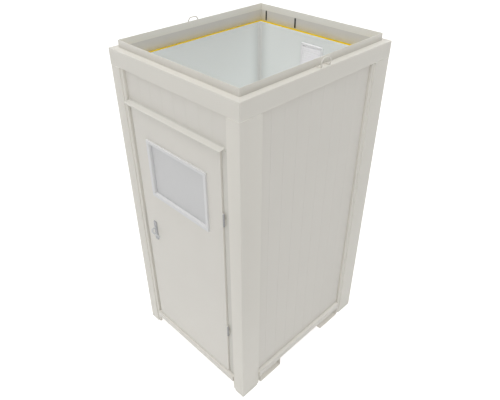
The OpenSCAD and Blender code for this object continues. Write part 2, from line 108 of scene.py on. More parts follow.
for lamp_name, direction, strength, spread, shadows in [
    ("lamp_overhead", (0.15, -0.2, 1.0), 1.05, 70, True),
    ("lamp_door_side", (0.0, -0.75, 0.80), 0.56, 70, True),
    ("fill_overhead", (0.0, 0.0, 1.0), 0.60, 10, False),
    ("fill_corner", (1.0, -0.8, 0.15), 0.17, 30, False),
    ("fill_back_side", (0.0, 1.0, 0.25), 1.20, 40, False),
    ("fill_left_side", (-1.0, 0.0, 0.25), 0.80, 40, False),
]:
    lamp = show(bpy.data.objects.new(lamp_name, bpy.data.lights.new(lamp_name, "SUN")))
    lamp.data.energy = strength
    lamp.data.angle = math.radians(spread)
    lamp.data.use_shadow = shadows
    lamp.rotation_euler = Vector(direction).to_track_quat("Z", "Y").to_euler()

sky = bpy.data.worlds.new("studio")
bpy.context.scene.world = sky
tree = shader_nodes(sky)
even_light = node(tree, "ShaderNodeBackground", Strength=0.15, Color=(1, 1, 1, 1))
white_surround = node(tree, "ShaderNodeBackground", Strength=1.0, Color=(1, 1, 1, 1))
mix = node(tree, "ShaderNodeMixShader")
for socket, given in zip(mix.inputs, (seen_directly(tree), even_light.outputs[0], white_surround.outputs[0])):
    tree.links.new(given, socket)
node(tree, "ShaderNodeOutputWorld", Surface=mix.outputs[0])

floor_half = 400.0
floor_mesh = bpy.data.meshes.new("studio_floor")
floor_corners = [(x * floor_half, y * floor_half, -0.0005) for x, y in ((-1, -1), (1, -1), (1, 1), (-1, 1))]
floor_mesh.from_pydata(floor_corners, [], [(0, 1, 2, 3)])
studio_floor = show(bpy.data.objects.new("studio_floor", floor_mesh))
floor_finish = bpy.data.materials.new("studio_floor")
tree = shader_nodes(floor_finish)
pale = node(tree, "ShaderNodeBsdfDiffuse", Color=(0.8, 0.8, 0.8, 1))
brightness = node(tree, "ShaderNodeMapRange", Value=seen_directly(tree), To_Min=0.205, To_Max=0.45)
glow = node(tree, "ShaderNodeEmission", Strength=brightness.outputs["Result"])
lit = node(tree, "ShaderNodeAddShader")
tree.links.new(pale.outputs[0], lit.inputs[0])
tree.links.new(glow.outputs[0], lit.inputs[1])
node(tree, "ShaderNodeOutputMaterial", Surface=lit.outputs[0])
floor_mesh.materials.append(floor_finish)

bpy.context.scene.view_settings.view_transform = "Standard"


# ---- Corner posts and roof frame ----
# Posts and roof rails are folded from 3 mm steel sheet, mitred at the roof's corners, welded, ground and
# sprayed in one pale grey-beige enamel with a faint orange peel and a slow drift of tone. The rim's inside
# carries painted light: a lighter enamel above a line as a painted highlight, and a shaded enamel below it.

def noise(tree, coordinates, scale, detail=2.0, roughness=0.5):
    grain = {"Scale": scale, "Detail": detail, "Roughness": roughness}
    return node(tree, "ShaderNodeTexNoise", Vector=coordinates, **grain).outputs["Fac"]


def spread_between(tree, factor, low, high):
    """The middle of a noise, spread over the range from low to high."""
    made = node(tree, "ShaderNodeMapRange", Value=factor, From_Min=0.3, From_Max=0.7, To_Min=low, To_Max=high)
    return made.outputs["Result"]


def tinted(tree, pattern, low, high):
    """Colours between two sets of screen levels, along a pattern."""
    share = spread_between(tree, pattern, 0, 1)
    made = node(tree, "ShaderNodeMix", data_type="RGBA", Factor=share, A=colour(*low), B=colour(*high))
    return made.outputs["Result"]


def drifting(tree, pattern, levels, drift):
    """Screen levels that go a little down and up, along a pattern."""
    return tinted(tree, pattern, [v - drift for v in levels], [v + drift for v in levels])


def roughened(tree, shader, pattern, low, high):
    tree.links.new(spread_between(tree, pattern, low, high), shader.inputs["Roughness"])


def bumped(tree, shader, height, depth):
    made = node(tree, "ShaderNodeBump", Strength=1.0, Distance=depth, Height=height)
    tree.links.new(made.outputs["Normal"], shader.inputs["Normal"])


def new_finish(name):
    """A material with one Principled shader, and the coordinates of the cabin for its patterns."""
    finish = bpy.data.materials.new(name)
    tree = shader_nodes(finish)
    shader = node(tree, "ShaderNodeBsdfPrincipled")
    node(tree, "ShaderNodeOutputMaterial", Surface=shader.outputs["BSDF"])
    place = node(tree, "ShaderNodeTexCoord").outputs["Object"]
    return finish, tree, shader, place


def corner_shaded(tree, tone, reach, share):
    """A tone that painted shade darkens in corners and recesses, up to reach away from the next surface."""
    air = node(tree, "ShaderNodeAmbientOcclusion", samples=8, Distance=reach).outputs["AO"]
    # Painted shade: where the ambient occlusion is low, a dark grey-brown is mixed into the tone.
    shade_amount = node(tree, "ShaderNodeMapRange", Value=air, From_Min=0.25, From_Max=0.95, To_Min=share, To_Max=0)
    shade_amount, shade_grey = shade_amount.outputs["Result"], colour(92, 88, 78)
    return node(tree, "ShaderNodeMix", data_type="RGBA", Factor=shade_amount, A=tone, B=shade_grey).outputs["Result"]


def enamel(name, levels, gloss=0.5, drift=0.8, peel=0.00001, reach=0.05, shade_amount=0.12):
    """Sprayed or coil-coated paint on sheet steel, with painted shade where it lies sheltered."""
    finish, tree, shader, place = new_finish(name)
    tone = drifting(tree, noise(tree, place, 1.7, 3), levels, drift)
    tree.links.new(corner_shaded(tree, tone, reach, shade_amount), shader.inputs["Base Color"])
    roughened(tree, shader, noise(tree, place, 9, 4, 0.6), gloss - 0.05, gloss + 0.07)
    shader.inputs["Specular IOR Level"].default_value = 0.25
    bumped(tree, shader, noise(tree, place, 420, 2), peel)
    return finish


def keep(obj, body, slot, *stands_for):
    """Lets a finished piece ride on its body and hides the nodes that it stands for. slot is not used."""
    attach(obj, body)
    if stands_for:
        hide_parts(*stands_for)
    return obj


def smooth(mesh, degrees=35):
    mesh.shade_smooth()
    mesh.set_sharp_from_angle(angle=math.radians(degrees))


def piece_from(name, bm, finish, degrees=35):
    """A new object from a bmesh, with its faces turned outwards."""
    bmesh.ops.remove_doubles(bm, verts=bm.verts, dist=1e-6)
    bmesh.ops.recalc_face_normals(bm, faces=bm.faces)
    mesh = bpy.data.meshes.new(name)
    bm.to_mesh(mesh)
    bm.free()
    mesh.materials.append(finish)
    smooth(mesh, degrees)
    return show(bpy.data.objects.new(name, mesh))


slots = {row["node"]: row["material_slot"] for row in frame["record"]["subparts"]}
bodies = {name: body for body, names in frame["record"]["behaviour"]["bodies"].items() for name in names}


def eased(prefix, finish, radius, *names, line=None):
    """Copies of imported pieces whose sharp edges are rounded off, each of which stands for its node.
    line is the height of an edge that is cut around them, where the paint changes."""
    for name in names:
        bm = bmesh.new()
        bm.from_mesh(frame["nodes"][name].data)
        bmesh.ops.remove_doubles(bm, verts=bm.verts, dist=2e-5)
        bmesh.ops.dissolve_limit(bm, angle_limit=math.radians(0.5), verts=bm.verts, edges=bm.edges)
        sharp = [e for e in bm.edges if e.is_manifold and e.calc_face_angle() > math.radians(35)]
        bmesh.ops.bevel(
            bm, geom=sharp, offset=radius, segments=2, profile=0.5, affect="EDGES", clamp_overlap=True
        )
        if line:
            everything = bm.verts[:] + bm.edges[:] + bm.faces[:]
            bmesh.ops.bisect_plane(bm, geom=everything, dist=1e-6, plane_co=(0, 0, line), plane_no=(0, 0, 1))
        keep(piece_from(prefix + name, bm, finish), bodies[name], slots[name], name)


frame_enamel = enamel("frame_enamel", (222, 219, 211))
steel_edge = 0.0012
eased(
    "steel_", frame_enamel, steel_edge,
    "post_front_left", "post_front_right", "post_back_left", "post_back_right",
)

panel_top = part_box("inner_skin_back")[1].z
lit_band_foot = 2.4935
rim_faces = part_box("roof_rail_right")[0].x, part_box("roof_rail_back")[0].y
at_rim = 0.004
rails = ["roof_rail_front", "roof_rail_back", "roof_rail_left", "roof_rail_right"]
eased("steel_", frame_enamel, steel_edge, *rails, line=lit_band_foot)
# Painted light on the rim's inner faces: the lighter enamel above the band line is a painted highlight, and
# shaded_enamel below it is painted shade.
lit_band_enamel = enamel("lit_band_enamel", (242, 240, 233), shade_amount=0.05)
shaded_enamel = enamel("shaded_enamel", (224, 222, 219), shade_amount=0.05)
for rail in rails:
    mesh = bpy.data.objects["steel_" + rail].data
    mesh.materials.append(lit_band_enamel)
    mesh.materials.append(shaded_enamel)
    for face in mesh.polygons:
        x, y, z = face.center
        looks_in = face.normal.x * x + face.normal.y * y < -0.3
        past_rim = max(abs(x) - rim_faces[0], abs(y) - rim_faces[1])
        if looks_in and past_rim < at_rim and z > panel_top:
            face.material_index = 1 if z > lit_band_foot else 2


def node_group(name, inputs):
    """An empty Geometry Nodes tree with named inputs, given as (name, socket type, value)."""
    group = bpy.data.node_groups.new(name, "GeometryNodeTree")
    group.interface.new_socket("Geometry", in_out="INPUT", socket_type="NodeSocketGeometry")
    for label, kind, value in inputs:
        made = group.interface.new_socket(label, in_out="INPUT", socket_type="NodeSocket" + kind)
        if value is not None:
            made.default_value = value
    made = group.interface.new_socket("Finish", in_out="INPUT", socket_type="NodeSocketMaterial")
    group.interface.new_socket("Geometry", in_out="OUTPUT", socket_type="NodeSocketGeometry")
    return group, group.nodes.new("NodeGroupInput").outputs


def end_group(group, given, geometry):
    """Ends a tree: instances made real, the finish set, and the result handed out."""
    real = node(group, "GeometryNodeRealizeInstances", Geometry=geometry).outputs["Geometry"]
    painted = node(group, "GeometryNodeSetMaterial", Geometry=real, Material=given["Finish"])
    node(group, "NodeGroupOutput", Geometry=painted.outputs["Geometry"])
    return group


def grown(name, base, group, finish, **values):
    """The result of a tree on a base mesh, kept as an object with a plain mesh."""
    obj = show(bpy.data.objects.new(name, base))
    modifier = obj.modifiers.new("grow", "NODES")
    modifier.node_group = group
    values = {label.replace("_", " "): value for label, value in values.items()}
    values["finish"] = finish
    for item in group.interface.items_tree:
        if item.in_out == "INPUT" and item.name.lower() in values:
            modifier[item.identifier] = values[item.name.lower()]
    view = bpy.context.evaluated_depsgraph_get()
    mesh = bpy.data.meshes.new_from_object(obj.evaluated_get(view), depsgraph=view)
    obj.modifiers.remove(modifier)
    obj.data = mesh
    smooth(mesh)
    return obj


def lines(name, runs):
    """A mesh of bare edges along runs of points, for a tree to follow."""
    points, edges = [], []
    for run in runs:
        edges += [(len(points) + i, len(points) + i + 1) for i in range(len(run) - 1)]
        points += run
    mesh = bpy.data.meshes.new(name)
    mesh.from_pydata(points, edges, [])
    return mesh


def weld_bead_group():
    """A rippled bead of round section along the edges of the base mesh."""
    group, given = node_group("weld_bead", [("Radius", "Float", 0.003), ("Ripple", "Float", 0.0006)])
    path = node(group, "GeometryNodeMeshToCurve", Mesh=given["Geometry"]).outputs["Curve"]
    steps = node(group, "GeometryNodeResampleCurve", mode="LENGTH", Length=0.0025, Curve=path)
    section = node(group, "GeometryNodeCurvePrimitiveCircle", Resolution=8, Radius=given["Radius"])
    bead = node(
        group, "GeometryNodeCurveToMesh", Fill_Caps=True,
        Curve=steps.outputs["Curve"], Profile_Curve=section.outputs["Curve"],
    )
    lumps = node(group, "ShaderNodeTexNoise", Scale=260).outputs["Fac"]
    sized = node(group, "ShaderNodeMapRange", Value=lumps, To_Min=0, To_Max=-1).outputs["Result"]
    depth = node(group, "ShaderNodeMath", operation="MULTIPLY")
    group.links.new(sized, depth.inputs[0])
    group.links.new(given["Ripple"], depth.inputs[1])
    inwards = node(group, "ShaderNodeVectorMath", operation="SCALE", Scale=depth.outputs[0])
    group.links.new(node(group, "GeometryNodeInputNormal").outputs["Normal"], inwards.inputs[0])
    rippled = node(group, "GeometryNodeSetPosition", Geometry=bead.outputs["Mesh"], Offset=inwards.outputs[0])
    return end_group(group, given, rippled.outputs["Geometry"])


weld_bead = weld_bead_group()


def beads(name, runs, radius, finish, body, slot):
    obj = grown(name, lines(name, runs), weld_bead, finish, radius=radius, ripple=radius * 0.4)
    return keep(obj, body, slot)


rail_low, rail_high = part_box("roof_rail_right")
post_low, post_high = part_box("post_front_right")
rim_inner = Vector((rail_low.x, -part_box("roof_rail_front")[1].y, 0))
corners = [(x, y) for x in (-1, 1) for y in (-1, 1)]
rim_bead, rim_foot, rim_head = 0.0022, panel_top + 0.002, rail_high.z - 0.004
rim_runs = [[(x * rim_inner.x, y * rim_inner.y, z) for z in (rim_foot, rim_head)] for x, y in corners]
beads("welds_roof_corners", rim_runs, rim_bead, frame_enamel, "cabin", "frame_paint")

# Under the rails, sealant runs round each post's outer fold and along both of its stepped strips.
seam_bead, seam_sunk = 0.0024, 1.03
seam_z = rail_low.z - 0.0015
out_x, out_y = post_high.x - seam_sunk * seam_bead, -post_low.y - seam_sunk * seam_bead
strip_w, strip_back, strip_gap = 0.024, 0.008, 0.001
leg_x, leg_y = post_low.x + strip_w, -post_high.y + strip_w
in_x, in_y = out_x - strip_back, out_y - strip_back
seams = [
    [(x * run_x, y * run_y, seam_z) for run_x, run_y in run] for x, y in corners for run in (
        ((leg_x, out_y), (out_x, out_y), (out_x, leg_y)),
        ((in_x, leg_y - strip_w + strip_gap), (in_x, leg_y)),
        ((post_low.x + strip_gap, in_y), (leg_x, in_y)),
    )
]
# The beads are real sealant; their light tone, brighter than the frame, is a painted highlight along each
# seam.
seam_highlight_sealant = enamel("seam_highlight_sealant", (234, 232, 225), shade_amount=0.0)
beads("sealant_post_heads", seams, seam_bead, seam_highlight_sealant, "cabin", "frame_paint")


# ---- Floor frame ----
# Folded floor rails between the posts, two rectangular fork pockets from side to side and channel
# crossmembers, all steel in the same enamel. The pockets are welded under the side rails.

floor_enamel = enamel("floor_enamel", (219, 216, 209), drift=1.5)
eased(
    "steel_", floor_enamel, steel_edge,
    "floor_rail_front", "floor_rail_back", "floor_rail_left", "floor_rail_right",
    "fork_pocket_front", "fork_pocket_back", "floor_crossmembers",
)

pocket_bead, pocket_run, bead_start, bead_sunk = 0.0025, 0.06, 0.002, 0.0005
pocket_runs = []
for pocket in ("fork_pocket_front", "fork_pocket_back"):
    low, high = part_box(pocket)
    for x, inwards in ((low.x + bead_start, pocket_run), (high.x - bead_start, -pocket_run)):
        for y in (low.y, high.y):
            pocket_runs.append([(x, y, high.z - bead_sunk), (x + inwards, y, high.z - bead_sunk)])
beads("welds_fork_pockets", pocket_runs, pocket_bead, floor_enamel, "cabin", "floor_rail_paint")


# ---- Floor ----
# A plywood board on the crossmembers, whose plies show as bands on its edges. It is covered with sheet
# vinyl, pale grey with fine flecks and a dull sheen.

def plywood(name):
    """Birch plies that show as bands on the board's edges, with grain along the cabin's depth."""
    finish, tree, shader, place = new_finish(name)
    stretched = node(tree, "ShaderNodeMapping", Scale=(9, 0.8, 1), Vector=place)
    grain = noise(tree, stretched.outputs["Vector"], 14, 6, 0.65)
    wood = tinted(tree, grain, (150, 112, 70), (186, 150, 104))
    plies = node(tree, "ShaderNodeTexWave", bands_direction="Z", Scale=110, Distortion=0.4, Vector=place)
    banded = node(
        tree, "ShaderNodeMix", data_type="RGBA", blend_type="MULTIPLY",
        Factor=0.35, A=wood, B=plies.outputs["Color"],
    )
    tree.links.new(banded.outputs["Result"], shader.inputs["Base Color"])
    shader.inputs["Roughness"].default_value = 0.7
    bumped(tree, shader, grain, 0.0004)
    return finish


def flecked_vinyl(name):
    finish, tree, shader, place = new_finish(name)
    chips = node(tree, "ShaderNodeTexVoronoi", Scale=170, Vector=place)
    tint = node(tree, "ShaderNodeSeparateColor", Color=chips.outputs["Color"])
    flecks = tinted(tree, tint.outputs["Red"], (172, 175, 175), (196, 198, 197))
    tree.links.new(flecks, shader.inputs["Base Color"])
    roughened(tree, shader, noise(tree, place, 5, 4), 0.38, 0.55)
    bumped(tree, shader, noise(tree, place, 600, 1), 0.00012)
    return finish


def finish_nodes(finish, *names):
    for name in names:
        mesh = frame["nodes"][name].data
        mesh.materials.clear()
        mesh.materials.append(finish)


finish_nodes(plywood("floor_plywood"), "floor_board")
finish_nodes(flecked_vinyl("floor_vinyl"), "floor_covering")


# ---- Wall panels ----
# Sandwich panels: coil-coated steel skins on a core of yellow rigid foam, whose cut edge shows along the
# tops. The outer skins carry fine upright ribs, the inner skins' top edges are folded over, most on the
# back panel, and white plastic angles close the room's corners.

def cut_foam(name):
    """Sawn face of closed-cell foam."""
    finish, tree, shader, place = new_finish(name)
    cells = node(tree, "ShaderNodeTexVoronoi", Scale=520, Vector=place)
    tone = tinted(tree, noise(tree, place, 60, 4, 0.6), (214, 182, 0), (224, 194, 2))
    tree.links.new(tone, shader.inputs["Base Color"])
    shader.inputs["Roughness"].default_value = 0.9
    shader.inputs["Specular IOR Level"].default_value = 0.1
    bumped(tree, shader, cells.outputs["Distance"], 0.0006)
    return finish


def moulded(name, levels, roughness=0.4, grain=0.00002, reach=0.02, shade_amount=0.1):
    """Plastic part from a mould, with a fine eroded grain and painted shade where it lies sheltered."""
    finish, tree, shader, place = new_finish(name)
    tone = drifting(tree, noise(tree, place, 12, 3), levels, 1)
    tree.links.new(corner_shaded(tree, tone, reach, shade_amount), shader.inputs["Base Color"])
    shader.inputs["Specular IOR Level"].default_value = 0.35
    roughened(tree, shader, noise(tree, place, 40, 3), roughness - 0.05, roughness + 0.06)
    bumped(tree, shader, noise(tree, place, 1500, 1), grain)
    return finish


finish_nodes(
    enamel("panel_coat", (221, 218, 211), gloss=0.55),
    "outer_skin_left", "outer_skin_right", "outer_skin_back", "outer_skin_front",
)
finish_nodes(
    cut_foam("panel_foam"),
    "insulation_left", "insulation_right", "insulation_back", "insulation_front",
)
# Painted shade: the room's coat darkens strongly in its corners and up to 0.12 m from the next surface.
room_coat = enamel("room_coat", (244, 247, 246), gloss=0.5, reach=0.12, shade_amount=0.42)
finish_nodes(
    room_coat,
    "inner_skin_left", "inner_skin_right", "inner_skin_back", "inner_skin_front",
)


def loft(bm, loops, closed=False):
    """Walls between loops of equal length, closed to a ring or capped at both ends."""
    rows = [[bm.verts.new(p) for p in loop] for loop in loops]
    pairs = list(zip(rows, rows[1:]))
    if closed:
        pairs.append((rows[-1], rows[0]))
    else:
        bm.faces.new(rows[0])
        bm.faces.new(rows[-1])
    for one, other in pairs:
        for i in range(len(one)):
            j = (i + 1) % len(one)
            bm.faces.new((one[i], one[j], other[j], other[i]))


def lofted(name, loops, finish, body, slot, *stands_for, closed=True):
    """A piece of one finish whose walls run between loops."""
    bm = bmesh.new()
    loft(bm, loops, closed)
    keep(piece_from(name, bm, finish), body, slot, *stands_for)


room_low, room_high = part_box("corner_trims")
fold_w, fold_back, fold_t, fold_gap = 0.0006, 0.0065, 0.0009, 0.0001
rings = []
for grow, up in ((0, 0), (0, fold_t), (1, fold_t), (1, 0)):
    side, back = grow * fold_w, grow * fold_back
    rings.append([Vector((x, y, room_high.z + fold_gap + up)) for x, y in (
        (room_low.x - side, room_low.y - side), (room_high.x + side, room_low.y - side),
        (room_high.x + side, room_high.y + back), (room_low.x - side, room_high.y + back),
    )])
lofted("skin_returns", rings, room_coat, "cabin", "room_paint")
# Painted shade darkens the corner angles strongly, as it does the room's coat.
trim_plastic, trim_edge = moulded("corner_trim_plastic", (246, 247, 245), reach=0.12, shade_amount=0.5), 0.0006
eased("moulded_", trim_plastic, trim_edge, "corner_trims")


# ---- Vent ----
# A white plastic grille on each side of the back panel, with bowed louvres and an insect screen behind
# them, screwed over a plastic sleeve that lines the hole through the foam.

vent_plastic = moulded("vent_plastic", (244, 243, 245), 0.4)


def upright(low, high):
    """The rectangle (x0, x1, z0, z1) of a box, as it looks from the front."""
    return low.x, high.x, low.z, high.z


def rectangle(rect, y, corner=0.0, steps=1):
    """Points round the upright rectangle (x0, x1, z0, z1) at depth y, with its corners rounded."""
    x0, x1, z0, z1 = rect
    if corner == 0:
        return [Vector(p) for p in ((x1, y, z0), (x1, y, z1), (x0, y, z1), (x0, y, z0))]
    points = []
    for cx, cz, start in (
        (x1 - corner, z0 + corner, -90), (x1 - corner, z1 - corner, 0),
        (x0 + corner, z1 - corner, 90), (x0 + corner, z0 + corner, 180),
    ):
        for i in range(steps + 1):
            angle = math.radians(start + 90 * i / steps)
            points.append(Vector((cx + corner * math.cos(angle), y, cz + corner * math.sin(angle))))
    return points


def shrunk(rect, amount):
    x0, x1, z0, z1 = rect
    return (x0 + amount, x1 - amount, z0 + amount, z1 - amount)


def rounded_edge(rect, y, radius, inward, steps=4, leaving=False):
    """(rectangle, y) stations round an outer edge, from the side wall onto the face at depth y.
    inward is 1 where the face looks towards -y and -1 where it looks towards +y."""
    stations = []
    for i in range(steps + 1):
        angle = math.radians(90 * i / steps)
        depth = inward * radius * (1 - math.sin(angle))
        stations.append((shrunk(rect, radius * (1 - math.cos(angle))), y + depth))
    return stations[::-1] if leaving else stations


def slat_stack_group():
    """Copies of the base mesh, one above the other."""
    group, given = node_group("slat_stack", [("Count", "Int", 8), ("Pitch", "Float", 0.017)])
    step = node(group, "ShaderNodeCombineXYZ", Z=given["Pitch"]).outputs["Vector"]
    places = node(group, "GeometryNodeMeshLine", mode="OFFSET", Count=given["Count"], Offset=step)
    stack = node(
        group, "GeometryNodeInstanceOnPoints", Points=places.outputs["Mesh"], Instance=given["Geometry"],
    )
    return end_group(group, given, stack.outputs["Instances"])


def round_bar_group():
    """Round bar or wire along the edges of the base mesh, bent to one radius at its corners."""
    group, given = node_group("round_bar", [
        ("Radius", "Float", 0.004), ("Bend radius", "Float", 0.01), ("Sides", "Int", 20),
    ])
    path = node(group, "GeometryNodeMeshToCurve", Mesh=given["Geometry"]).outputs["Curve"]
    bent = node(
        group, "GeometryNodeFilletCurve", mode="POLY", Count=8, Limit_Radius=True,
        Curve=path, Radius=given["Bend radius"],
    )
    section = node(
        group, "GeometryNodeCurvePrimitiveCircle", Radius=given["Radius"], Resolution=given["Sides"],
    )
    bar = node(
        group, "GeometryNodeCurveToMesh", Fill_Caps=True,
        Curve=bent.outputs["Curve"], Profile_Curve=section.outputs["Curve"],
    )
    return end_group(group, given, bar.outputs["Mesh"])


def fastener_group():
    """Domed heads on the points of the base mesh, with a cross recess where they are screws."""
    group, given = node_group("fastener_heads", [
        ("Radius", "Float", 0.003), ("Height", "Float", 0.0015), ("Crossed", "Bool", True),
        ("Facing", "Vector", (0, 0, 0)),
    ])

    def product(one, other):
        made = node(group, "ShaderNodeMath", operation="MULTIPLY")
        group.links.new(one, made.inputs[0])
        made.inputs[1].default_value = other
        return made.outputs[0]

    def vector(**parts):
        return node(group, "ShaderNodeCombineXYZ", **parts).outputs["Vector"]

    radius, height = given["Radius"], given["Height"]
    ball = node(group, "GeometryNodeMeshUVSphere", Segments=18, Rings=10, Radius=1).outputs["Mesh"]
    size = vector(X=radius, Y=radius, Z=height)
    dome = node(group, "GeometryNodeTransform", Geometry=ball, Scale=size).outputs["Geometry"]
    cut = node(group, "GeometryNodeMeshBoolean", operation="DIFFERENCE", Mesh_1=dome)
    long, narrow = product(radius, 1.2), product(radius, 0.26)
    for x, y in ((long, narrow), (narrow, long)):
        arm = node(group, "GeometryNodeMeshCube", Size=vector(X=x, Y=y, Z=height)).outputs["Mesh"]
        raised = node(group, "GeometryNodeTransform", Geometry=arm, Translation=vector(Z=height))
        group.links.new(raised.outputs["Geometry"], cut.inputs["Mesh 2"])
    head = node(
        group, "GeometryNodeSwitch", input_type="GEOMETRY",
        Switch=given["Crossed"], False_=dome, True_=cut.outputs["Mesh"],
    )
    turn = node(group, "FunctionNodeEulerToRotation", Euler=given["Facing"])
    heads = node(
        group, "GeometryNodeInstanceOnPoints", Points=given["Geometry"],
        Instance=head.outputs["Output"], Rotation=turn.outputs["Rotation"],
    )
    return end_group(group, given, heads.outputs["Instances"])


slat_stack, round_bar, fastener_heads = slat_stack_group(), round_bar_group(), fastener_group()
to_front, to_back = (math.radians(90), 0, 0), (math.radians(-90), 0, 0)


def bent_bars(name, runs, finish, radius, bend, sides):
    return grown(name, lines(name, runs), round_bar, finish, radius=radius, bend_radius=bend, sides=sides)


def heads(name, points, radius, height, crossed, facing, finish, body, slot):
    mesh = bpy.data.meshes.new(name)
    mesh.from_pydata(points, [], [])
    sizes = {"radius": radius, "height": height, "crossed": crossed, "facing": facing}
    return keep(grown(name, mesh, fastener_heads, finish, **sizes), body, slot)


def zinc(name, levels, roughness=0.38, metallic=0.35):
    """Zinc-plated steel or satin aluminium: dull metal with a faint cloudy tone."""
    finish, tree, shader, place = new_finish(name)
    cloud = drifting(tree, noise(tree, place, 90, 4, 0.6), levels, 5)
    tree.links.new(cloud, shader.inputs["Base Color"])
    shader.inputs["Metallic"].default_value = metallic
    roughened(tree, shader, noise(tree, place, 160, 3), roughness - 0.08, roughness + 0.1)
    bumped(tree, shader, noise(tree, place, 500, 3), 0.00004)
    return finish


screw_zinc = zinc("screw_zinc", (186, 188, 190))
vent_border, vent_edge, vent_corner, hole_corner, hole_lip = 0.015, 0.003, 0.004, 0.0005, 0.001
slat_pitch, slat_chord, slat_t, slat_bow, slat_bite = 0.017, 0.0185, 0.0013, 0.0022, 0.001
slat_tilt, slat_squash, normal_y, normal_z = math.radians(38), 0.92, 0.79, 0.62
wire_r, wire_step, wire_inset, wire_over = 0.0003, 0.005, 0.003, 0.0004
screw_r, screw_h = 0.003, 0.0012
for grille, inward, side, facing in (
    ("vent_grille_inside", 1, "room", to_front), ("vent_grille_outside", -1, "outer", to_back),
):
    low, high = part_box(grille)
    face_y, wall_y = (low.y, high.y) if inward == 1 else (high.y, low.y)
    rect = upright(low, high)
    inner = shrunk(rect, vent_border)
    rims = [(rect, wall_y)] + rounded_edge(rect, face_y, vent_edge, inward)
    hole = [(shrunk(inner, -hole_lip), face_y), (inner, face_y + inward * hole_lip), (inner, wall_y)]
    loops = [rectangle(r, y, vent_corner, 4) for r, y in rims]
    loops += [rectangle(r, y, hole_corner, 4) for r, y in hole]
    lofted(f"vent_frame_{side}", loops, vent_plastic, "cabin", "vent_plastic", grille)

    rows = int((inner[3] - inner[2]) / slat_pitch)
    first_z = (inner[2] + inner[3]) / 2 - (rows - 1) / 2 * slat_pitch
    bow = []
    for t in [i / 8 - 0.5 for i in range(9)]:
        along, bulge = t * slat_chord, slat_bow * (1 - 4 * t * t)
        bow.append((
            along * math.sin(slat_tilt) - bulge * normal_y, along * math.cos(slat_tilt) + bulge * normal_z,
        ))
    loop = bow + [(y + slat_t * normal_y, z - slat_t * normal_z) for y, z in bow[::-1]]
    middle_y = (face_y + wall_y) / 2
    bm = bmesh.new()
    loft(bm, [
        [Vector((x, middle_y + inward * y * slat_squash, first_z + z)) for y, z in loop]
        for x in (inner[0] - slat_bite, inner[1] + slat_bite)
    ])
    bmesh.ops.recalc_face_normals(bm, faces=bm.faces)
    slat = bpy.data.meshes.new("vent_slat")
    bm.to_mesh(slat)
    bm.free()
    slats = grown(f"vent_slats_{side}", slat, slat_stack, vent_plastic, count=rows, pitch=slat_pitch)
    keep(slats, "cabin", "vent_plastic")

    wired, wire_y = shrunk(inner, wire_inset), wall_y + inward * wire_inset
    columns, courses = [
        [start + wire_step * (i + 0.5) for i in range(int((end - start) / wire_step))]
        for start, end in (inner[:2], inner[2:])
    ]
    wires = [[(x, wire_y, z) for z in wired[2:]] for x in columns]
    wires += [[(x, wire_y + wire_over, z) for x in wired[:2]] for z in courses]
    screen = bent_bars(f"vent_screen_{side}", wires, vent_plastic, wire_r, 0.0, 4)
    keep(screen, "cabin", "vent_plastic")
    held = shrunk(rect, vent_border / 2)
    screws = [(x, face_y, z) for x in held[:2] for z in held[2:]]
    heads(f"vent_screws_{side}", screws, screw_r, screw_h, True, facing, screw_zinc, "cabin", "vent_plastic")

sleeve_t, sleeve_gap, sleeve_inset = 0.002, 0.0005, 0.0025
low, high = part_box("vent_grille_inside")
duct = shrunk(upright(low, high), vent_border + sleeve_inset)
bore = shrunk(duct, sleeve_t)
front_y, back_y = high.y + sleeve_gap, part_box("vent_grille_outside")[0].y - sleeve_gap
loops = [(duct, front_y), (duct, back_y), (bore, back_y), (bore, front_y)]
loops = [rectangle(r, y, sleeve_t, 3) for r, y in loops]
lofted("vent_sleeve", loops, vent_plastic, "cabin", "vent_plastic")


# ---- Door frame ----
# Two folded steel jambs and a head that form the rebate the leaf closes into, in the frame's enamel darkened
# as painted shade for their recess.
# A pale grey rubber seal is pressed into the rebate's corner, up one side, over the head and down the other;
# the seal is real, and its pale tone is painted light that lifts the shade in the gap round the leaf.

# The jambs' enamel is darker than the frame's: painted shade for the recess between leaf and post.
door_frame_shaded_enamel, jamb_edge = enamel("door_frame_shaded_enamel", (210, 208, 201), shade_amount=0.06), 0.0007
eased("folded_", door_frame_shaded_enamel, jamb_edge, "door_jamb_left", "door_jamb_right", "door_head")


def rubber(name, levels, roughness=0.7):
    finish, tree, shader, place = new_finish(name)
    dusty = tinted(tree, noise(tree, place, 70, 4, 0.6), levels, [v + 10 for v in levels])
    tree.links.new(dusty, shader.inputs["Base Color"])
    shader.inputs["Roughness"].default_value = roughness
    bumped(tree, shader, noise(tree, place, 900, 2), 0.0001)
    return finish


leaf_low, leaf_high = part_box("door_leaf")
leaf_gap = 0.005
stop_w = 0.020
rebate_left, rebate_right = leaf_low.x - leaf_gap, leaf_high.x + leaf_gap
rebate_foot, rebate_top = leaf_low.z - leaf_gap, leaf_high.z + leaf_gap
stop_y, stop_side = leaf_high.y + leaf_gap, stop_w - 0.0008
seal_lip, seal_pad, seal_front = 0.0026, 0.0038, leaf_low.y + 0.0135
seal_section = [
    (0, seal_front), (seal_lip - 0.0006, seal_front), (seal_lip, seal_front + 0.0008),
    (seal_lip, stop_y - seal_pad), (stop_w - 0.004, stop_y - seal_pad),
    (stop_w - 0.0015, stop_y - seal_pad + 0.001),
    (stop_side, stop_y - 0.001), (stop_side, stop_y), (0, stop_y),
]
